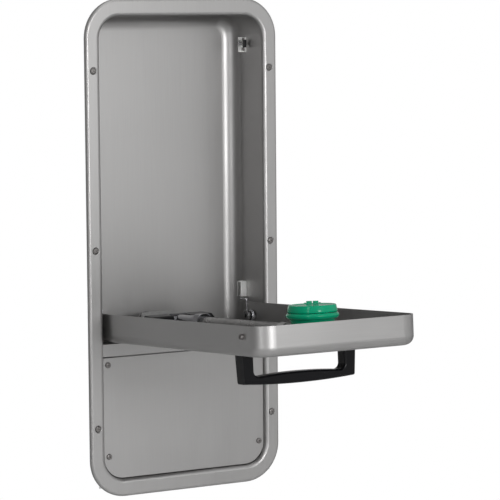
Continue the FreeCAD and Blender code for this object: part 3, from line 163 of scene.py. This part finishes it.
upright_grain = satin_steel("satin stainless, upright grain", STEEL_TINT, STEEL_ROUGH,
                            (GRAIN_ACROSS, GRAIN_ACROSS, GRAIN_ALONG))
wear(["cabinet", "access_panel", "sill", "drain_trough"], upright_grain)
pan_grain = satin_steel("satin stainless, grain across the pan", STEEL_TINT, STEEL_ROUGH,
                        (GRAIN_ALONG, GRAIN_ACROSS, GRAIN_ACROSS))
wear(["pan"], pan_grain)

# --- Brackets, rails and clips ------------------------------------------------------------
# Plain bent brackets of zinc-plated or stainless strip, a little brighter and smoother than
# the drawn sheet, with a mottled plated surface and no grain direction. The catch brackets
# and spring anchors get a much lighter tint, a painted highlight for the light they catch.
BRACKET_STEEL = (0.42, 0.42, 0.415)
# Much lighter than the bracket steel: painted highlight for the light the catch brackets catch.
ZINC_PAINTED_LIGHT = (0.86, 0.86, 0.85)
MOTTLE = 120.0
MOTTLE_DEPTH = 0.00002
HANDLING = 22.0


def plated(name, tint, rough):
    """Bare or plated metal with no grain: a mottle in the colour, clouds in the polish."""
    m = Finish(name)
    mottle = m.noise(MOTTLE, 2.0, 0.5)
    cloud = m.noise(HANDLING, 3.0, 0.5)
    colour = m.blend(m.span(mottle, 0.0, 1.0), darker(tint, 0.86), tint)
    m.link(colour, m.shader.inputs["Base Color"])
    m.link(m.span(cloud, rough - 0.06, rough + 0.08), m.shader.inputs["Roughness"])
    m.shader.inputs["Metallic"].default_value = 1.0
    m.bump(mottle, 0.05, MOTTLE_DEPTH)
    return m.material


wear(["panel_rail_left", "panel_rail_right", "valve_bracket", "pipe_saddle"],
     plated("bracket steel", BRACKET_STEEL, rough=0.34))
# Catch brackets and anchors: lighter tint as painted highlight.
wear(["catch_bracket_left", "catch_bracket_right", "spring_anchor_left", "spring_anchor_right"],
     plated("bracket zinc with painted highlight", ZINC_PAINTED_LIGHT, rough=0.45))

# --- Screws, pins, springs and spacers ----------------------------------------------------
# Rolled and turned stainless fasteners, grey and slightly dull from handling. The springs
# are wound from bright wire.
SCREW_STEEL = (0.22, 0.21, 0.205)
TURNED_STEEL = (0.24, 0.24, 0.24)
SPRING_WIRE = (0.52, 0.52, 0.54)

wear(["wall_screws", "panel_screws", "bracket_screws", "guide_studs", "saddle_screws",
      "valve_screws", "handle_screws"], plated("dulled screw steel", SCREW_STEEL, rough=0.36))
wear(["hinge_bolts", "hinge_nuts", "hinge_spacers", "catch_stem_left", "catch_stem_right",
      "lid_pin", "valve_spindle", "waste_strainer", "stop_valve_lever"],
     plated("turned steel", TURNED_STEEL, rough=0.27))
wear(["counterbalance_spring_left", "counterbalance_spring_right", "catch_spring_left",
      "catch_spring_right"], plated("spring wire", SPRING_WIRE, rough=0.25))

# --- Black mouldings, rubber, vinyl and white plastic -------------------------------------
# Valve blocks, bushes, magnet cases and the gloss handle are near-black mouldings with a
# fine spark-eroded skin. The seals are duller rubber, and the lever's sleeve dipped vinyl.
BLACK_NYLON = (0.007, 0.007, 0.008)
BLACK_RUBBER = (0.02, 0.02, 0.02)
GLOSS_BLACK = (0.0025, 0.0025, 0.0035)
BLUE_VINYL = (0.02, 0.09, 0.38)
WHITE_PLASTIC = (0.72, 0.72, 0.70)


def moulded(name, colour, rough, pebble, depth, shine=0.5):
    """A moulded skin: pebble is how fine its texture is, depth how deep, in metres."""
    m = Finish(name)
    grain = m.noise(pebble, 3.0, 0.55)
    cloud = m.noise(30.0, 3.0, 0.5)
    body = m.blend(m.span(cloud, 0.0, 1.0), darker(colour, 0.85), colour)
    m.link(body, m.shader.inputs["Base Color"])
    m.link(m.span(grain, rough - 0.03, rough + 0.05), m.shader.inputs["Roughness"])
    m.shader.inputs["Specular IOR Level"].default_value = shine
    m.bump(grain, 0.25, depth)
    return m.material


wear(["valve_body", "bearing_block", "pivot_bushes", "catch_magnet_left", "catch_magnet_right",
      "supply_elbow"],
     moulded("black nylon", BLACK_NYLON, rough=0.32, pebble=900.0, depth=0.00004, shine=0.28))
wear(["rest_pads", "rotor_seals"],
     moulded("black rubber", BLACK_RUBBER, rough=0.7, pebble=1400.0, depth=0.0001))
wear(["pull_handle"],
     moulded("gloss black handle", GLOSS_BLACK, rough=0.13, pebble=700.0, depth=0.000006, shine=0.18))
wear(["lever_sleeve"],
     moulded("blue dipped vinyl", BLUE_VINYL, rough=0.35, pebble=500.0, depth=0.00005))
wear(["spray_plate", "head_locknut", "head_filter"],
     moulded("white plastic", WHITE_PLASTIC, rough=0.4, pebble=900.0, depth=0.00003))

# --- Green spray head: lid, ring and base -------------------------------------------------
# Three polished mouldings in one green: a dished flip lid with two knuckles, a wide ring
# with a chamfered foot, and a slotted skirt below. Every rim is softly radiused. Outlines
# are in millimetres, radius then height above the arm.
GREEN = (0.0006, 0.31, 0.158)
MILLIMETRE = 0.001
PLATE_MIDDLE = 29.6
HEAD_STEPS = 128
RIM_RADIUS = 0.45
LID_OUTLINE = [(0, 41.0), (30.5, 41.0), (32.5, 41.2), (34.0, 42.0), (35.6, 42.0), (36.0, 41.2),
               (37.5, 34.6), (37.6, 33.4), (37.6, 31.1), (34.8, 31.1), (34.8, 39.7), (0, 39.7)]
RING_OUTLINE = [(32.3, 21.0), (36.4, 21.0), (39.1, 23.4), (39.9, 25.4), (39.9, 26.6),
                (39.2, 29.0), (37.0, 30.5), (35.0, 30.5), (35.0, 28.7), (32.3, 28.7)]
KNUCKLES = ((0.6, 9.2), (-9.2, -0.6))
KNUCKLE_RADIUS = 5.0
EARS = ((9.6, 12.6), (-12.6, -9.6))
EAR_RADIUS = 2.6
EAR_DEPTH = 5.15
EAR_HEIGHT = 15.0
EAR_MIDDLE = 32.5
EAR_EASE = 0.02
HINGE_OUT = 39.5
HINGE_UP = 40.0

green = moulded("green spray head", GREEN, rough=0.11, pebble=260.0, depth=0.000004, shine=0.20)
joints = {joint["name"]: joint for joint in frame["record"]["behaviour"]["joints"]}
pan_tilt = math.radians(90.0 - joints["pan_swing"]["range_deg"][1])
lid_axis = joints["lid_flip"]["axis"]
head_turn = math.atan2(lid_axis[1] / math.cos(pan_tilt), lid_axis[0])
plate_low, plate_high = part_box("spray_plate")
head_place = (Matrix.Translation((Vector(plate_low) + Vector(plate_high)) / 2)
              @ Matrix.Rotation(-pan_tilt, 4, "X") @ Matrix.Rotation(head_turn, 4, "Z")
              @ Matrix.Scale(MILLIMETRE, 4) @ Matrix.Translation((0.0, 0.0, -PLATE_MIDDLE)))


def lathe(mesh, outline, steps, closed):
    """Turn a (radius, height) outline about Z."""
    points = [mesh.verts.new((r, 0.0, z)) for r, z in outline]
    pairs = list(zip(points, points[1:]))
    if closed:
        pairs.append((points[-1], points[0]))
    lines = [mesh.edges.new(pair) for pair in pairs]
    bmesh.ops.spin(mesh, geom=points + lines, cent=(0, 0, 0), axis=(0, 0, 1), dvec=(0, 0, 0),
                   angle=2 * math.pi, steps=steps, use_merge=True)
    bmesh.ops.remove_doubles(mesh, verts=mesh.verts, dist=1e-4)


def barrel(mesh, radius, x0, x1, out, height):
    """A capped cylinder along X."""
    turn = Matrix.Translation(((x0 + x1) / 2, out, height)) @ Matrix.Rotation(math.pi / 2, 4, "Y")
    bmesh.ops.create_cone(mesh, cap_ends=True, segments=40, radius1=radius, radius2=radius,
                          depth=x1 - x0, matrix=turn)


def soften(mesh, radius, sharp=0.45):
    """Round every edge that turns by more than sharp radians."""
    bmesh.ops.recalc_face_normals(mesh, faces=mesh.faces)
    edges = [edge for edge in mesh.edges
             if len(edge.link_faces) == 2 and edge.calc_face_angle() > sharp]
    bmesh.ops.bevel(mesh, geom=edges, offset=radius, segments=2, profile=0.5,
                    affect="EDGES", material=-1)


def piece(mesh, name, place, material, body, node):
    """Put a finished mesh in the scene as the visible form of a CAD node."""
    bmesh.ops.transform(mesh, matrix=place, verts=mesh.verts)
    bmesh.ops.recalc_face_normals(mesh, faces=mesh.faces)
    for face in mesh.faces:
        face.smooth = True
    data = bpy.data.meshes.new(name)
    mesh.to_mesh(data)
    mesh.free()
    data.materials.append(material)
    made = bpy.data.objects.new(name, data)
    bpy.context.scene.collection.objects.link(made)
    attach(made, body)
    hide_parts(node)


lid = bmesh.new()
lathe(lid, LID_OUTLINE, HEAD_STEPS, False)
for x0, x1 in KNUCKLES:
    barrel(lid, KNUCKLE_RADIUS, x0, x1, HINGE_OUT, HINGE_UP)
soften(lid, RIM_RADIUS)
piece(lid, "lid_shell", head_place, green, "lid_body", "head_lid")

band = bmesh.new()
lathe(band, RING_OUTLINE, HEAD_STEPS, True)
for x0, x1 in EARS:
    barrel(band, EAR_RADIUS, x0, x1, HINGE_OUT, HINGE_UP)
    ear = bmesh.ops.create_cube(band, size=1.0)
    shape = (Matrix.Translation(((x0 + x1) / 2, HINGE_OUT, EAR_MIDDLE))
             @ Matrix.Diagonal((x1 - x0 - EAR_EASE, EAR_DEPTH, EAR_HEIGHT, 1.0)))
    bmesh.ops.transform(band, matrix=shape, verts=ear["verts"])
soften(band, RIM_RADIUS)
piece(band, "head_band", head_place, green, "pan_body", "head_ring")
wear(["head_base"], green)

# --- Pipes, chromed fittings and brass ----------------------------------------------------
# Drawn tube with a dull satin for the pipes, polished chrome on the swivel and nut, and cast
# brass with a slightly mottled skin on the hidden supply line. The pipe and chrome tints are
# kept dark as painted dark reflection of dim surroundings.
# Pipe and chrome tints below are darkened: painted dark reflection.
PIPE_TINT_PAINTED_DARK = (0.23, 0.228, 0.225)
CHROME_PAINTED_DARK = (0.19, 0.19, 0.20)
CAST_BRASS = (0.55, 0.40, 0.18)

wear(["arm_pipe", "supply_riser", "waste_tailpiece"], plated("pipe satin with painted dark reflection", PIPE_TINT_PAINTED_DARK, rough=0.30))
# Chrome fittings: dark tint as painted dark reflection.
wear(["swivel_hub", "union_nut", "arm_elbow", "waste_nut"],
     plated("chrome with painted dark reflection", CHROME_PAINTED_DARK, rough=0.10))
wear(["flow_regulator", "stop_valve_body", "stop_valve_ball", "supply_tail"],
     plated("cast brass", CAST_BRASS, rough=0.34))

# --- Wall and floor -----------------------------------------------------------------------
# The plain painted wall the cabinet is let into, with its cut-out hidden under the flange,
# and a pale floor at the usual distance below. The wall is only seen from its room side.
FLOOR_LEVEL = -1.35
ROOM_SIZE = 12.0
CUT_IN = 0.016
FLOOR_SHADES = ((0.88, 0.88, 0.88), (0.92, 0.92, 0.92))
WALL_SHADES = ((0.34, 0.34, 0.34), (0.38, 0.38, 0.38))
MATT = 0.9
low, high = cad_box


def backdrop(mesh, name, material):
    """Put a finished mesh behind the object, as part of the room."""
    data = bpy.data.meshes.new(name)
    mesh.to_mesh(data)
    mesh.free()
    data.materials.append(material)
    made = bpy.data.objects.new(name, data)
    bpy.context.scene.collection.objects.link(made)


pale = Finish("pale floor")
pale.link(pale.blend(pale.noise(3.0), *FLOOR_SHADES), pale.shader.inputs["Base Color"])
pale.shader.inputs["Roughness"].default_value = MATT
plane = bmesh.new()
bmesh.ops.create_grid(plane, x_segments=1, y_segments=1, size=ROOM_SIZE / 2)
bmesh.ops.translate(plane, verts=plane.verts, vec=(0.0, 0.0, FLOOR_LEVEL))
backdrop(plane, "floor", pale.material)

paint = Finish("painted wall")
paint.link(paint.blend(paint.noise(5.0), *WALL_SHADES), paint.shader.inputs["Base Color"])
paint.shader.inputs["Roughness"].default_value = MATT
glow = paint.add("ShaderNodeEmission")
glow.inputs["Color"].default_value = (1.0, 1.0, 1.0, 1.0)
clear = paint.add("ShaderNodeBsdfTransparent")
rays = paint.add("ShaderNodeLightPath")
side = paint.add("ShaderNodeNewGeometry")
seen_front = paint.add("ShaderNodeMixShader")
paint.link(rays.outputs["Is Camera Ray"], seen_front.inputs["Fac"])
paint.link(paint.shader.outputs["BSDF"], seen_front.inputs[1])
paint.link(glow.outputs["Emission"], seen_front.inputs[2])
one_sided = paint.add("ShaderNodeMixShader")
paint.link(side.outputs["Backfacing"], one_sided.inputs["Fac"])
paint.link(seen_front.outputs["Shader"], one_sided.inputs[1])
paint.link(clear.outputs["BSDF"], one_sided.inputs[2])
paint.link(one_sided.outputs["Shader"], paint.tree.nodes["Material Output"].inputs["Surface"])
sheet = bmesh.new()
xs = (-ROOM_SIZE / 2, low.x + CUT_IN, high.x - CUT_IN, ROOM_SIZE / 2)
zs = (FLOOR_LEVEL, low.z + CUT_IN, high.z - CUT_IN, ROOM_SIZE / 3)
corners = [[sheet.verts.new((x, 0.0, z)) for x in xs] for z in zs]
for row in range(3):
    for column in range(3):
        if (row, column) != (1, 1):
            sheet.faces.new((corners[row][column], corners[row][column + 1],
                             corners[row + 1][column + 1], corners[row + 1][column]))
backdrop(sheet, "wall", paint.material)

# --- Light and camera ---------------------------------------------------------------------
# The room is bright on the right and dim behind the station. A softbox and a small window
# stand in front, a tall strip on the left draws the lines down the bends, and a large
# panel overhead fills in.
ROOM_BRIGHT_SIDE = (0.56, -0.78, 0.20)
ROOM_DIMMEST = 0.03
ROOM_BRIGHTEST = 1.0
world = bpy.data.worlds.new("room")
bpy.context.scene.world = world
world.use_nodes = True
tree = world.node_tree
tree.nodes.clear()
out = tree.nodes.new("ShaderNodeOutputWorld")
seen = tree.nodes.new("ShaderNodeBackground")
seen.inputs["Color"].default_value = (1.0, 1.0, 1.0, 1.0)
room = tree.nodes.new("ShaderNodeBackground")
coords = tree.nodes.new("ShaderNodeTexCoord")
toward = tree.nodes.new("ShaderNodeVectorMath")
toward.operation = "DOT_PRODUCT"
toward.inputs[1].default_value = ROOM_BRIGHT_SIDE
tree.links.new(coords.outputs["Generated"], toward.inputs[0])
level = tree.nodes.new("ShaderNodeMapRange")
level.inputs["From Min"].default_value = -1.0
level.inputs["From Max"].default_value = 1.0
level.inputs["To Min"].default_value = ROOM_DIMMEST
level.inputs["To Max"].default_value = ROOM_BRIGHTEST
tree.links.new(toward.outputs["Value"], level.inputs["Value"])
tree.links.new(level.outputs["Result"], room.inputs["Strength"])
path = tree.nodes.new("ShaderNodeLightPath")
mix = tree.nodes.new("ShaderNodeMixShader")
tree.links.new(path.outputs["Is Camera Ray"], mix.inputs["Fac"])
tree.links.new(room.outputs["Background"], mix.inputs[1])
tree.links.new(seen.outputs["Background"], mix.inputs[2])
tree.links.new(mix.outputs["Shader"], out.inputs["Surface"])


def soft_light(name, azimuth, elevation, distance, width, height, power):
    """A rectangular light that faces the station's middle, azimuth 0 being straight ahead."""
    round_by = math.radians(azimuth)
    up_by = math.radians(elevation)
    data = bpy.data.lights.new(name, "AREA")
    data.shape = "RECTANGLE"
    data.energy = power
    data.size = width
    data.size_y = height
    away = Vector((math.sin(round_by) * math.cos(up_by), -math.cos(round_by) * math.cos(up_by),
                   math.sin(up_by)))
    light = bpy.data.objects.new(name, data)
    light.location = away * distance
    light.rotation_euler = away.to_track_quat("Z", "Y").to_euler()
    bpy.context.scene.collection.objects.link(light)


soft_light("front softbox", azimuth=9.0, elevation=1.0, distance=2.6, width=0.9, height=2.6, power=5.0)
soft_light("small window", azimuth=1.0, elevation=7.0, distance=2.6, width=0.5, height=0.6, power=17.0)
soft_light("left strip", azimuth=-45.0, elevation=8.0, distance=2.6, width=0.35, height=2.4, power=9.0)
soft_light("overhead", azimuth=10.0, elevation=72.0, distance=2.8, width=1.6, height=1.6, power=10.0)

CAMERA_PLACE = (-2.0180, -3.5894, 0.3796)
CAMERA_YAW = 30.84
CAMERA_PITCH = -5.38
CAMERA_ROLL = -0.49
CAMERA_LENS = 184.5
camera = bpy.data.objects.new("camera", bpy.data.cameras.new("camera"))
camera.data.lens = CAMERA_LENS
camera.data.clip_end = 60.0
aim = (Matrix.Rotation(math.radians(-CAMERA_YAW), 4, "Z")
       @ Matrix.Rotation(math.radians(90.0 + CAMERA_PITCH), 4, "X")
       @ Matrix.Rotation(math.radians(CAMERA_ROLL), 4, "Z"))
camera.matrix_world = Matrix.Translation(CAMERA_PLACE) @ aim
bpy.context.scene.collection.objects.link(camera)
bpy.context.scene.camera = camera
bpy.context.scene.view_settings.view_transform = "Standard"
